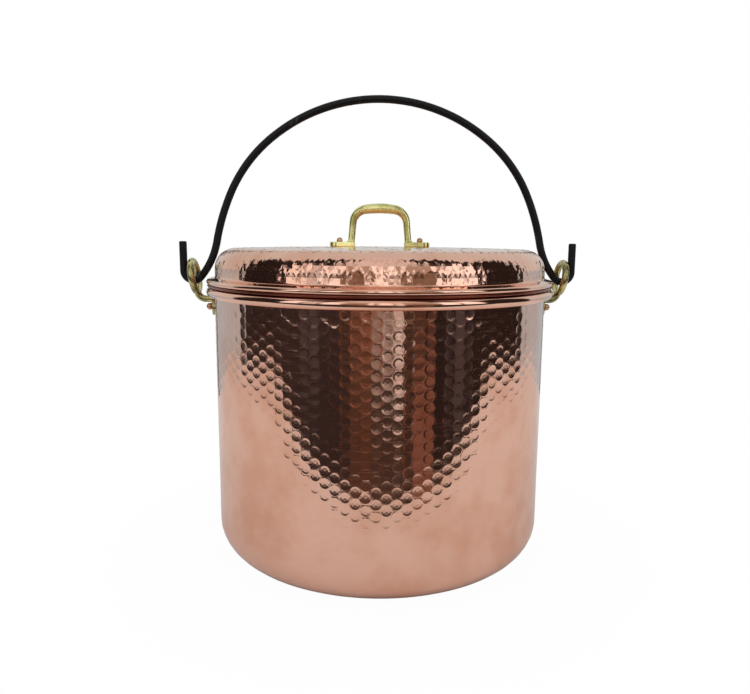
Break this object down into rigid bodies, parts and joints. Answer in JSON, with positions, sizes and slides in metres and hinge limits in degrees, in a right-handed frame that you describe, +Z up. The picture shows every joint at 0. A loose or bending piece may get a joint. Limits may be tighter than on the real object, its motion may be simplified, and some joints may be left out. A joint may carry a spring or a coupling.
{
  "type": "soup kettle",
  "caption": "Round hammered soup kettle with a wired rim, a loose shallow lid with an arched handle, and a bail hooked through ear rings.",
  "frame": {"origin": "middle of the pot's flat base, on the surface that it stands on", "axes": "+Z up, +X through the right-hand ear, -Y towards the front"},
  "size_m": [0.3676, 0.3141, 0.4117],
  "materials": {
    "copper": null,
    "brass": "cast and lightly polished",
    "black_iron": "blackened iron bar, satin",
    "wire": "plain drawn iron wire, hidden inside the rolled edges"
  },
  "bodies": {
    "kettle": {"kettle_body": "copper", "rim_wire": "wire", "ear_left": "brass", "ear_right": "brass", "ear_rivet_left_front": "copper", "ear_rivet_left_rear": "copper", "ear_rivet_right_front": "copper", "ear_rivet_right_rear": "copper"},
    "lid": {"lid": "copper", "lid_rim_wire": "wire", "lid_seat_ring": "copper", "lid_handle": "brass", "lid_rivet_left": "copper", "lid_rivet_right": "copper"},
    "bail": {"bail": "black_iron"}
  },
  "joints": [
    {"name": "bail_swing", "type": "hinge", "parent": "kettle", "child": "bail", "pos_m": [0, 0, 0.24585], "axis": [1, 0, 0], "range_deg": [-55, 55]},
    {"name": "lid_draw", "type": "slide", "parent": "kettle", "child": "lid", "axis": [0, -0.9659, 0.2588], "range_m": [0, 0.36]}
  ]
}
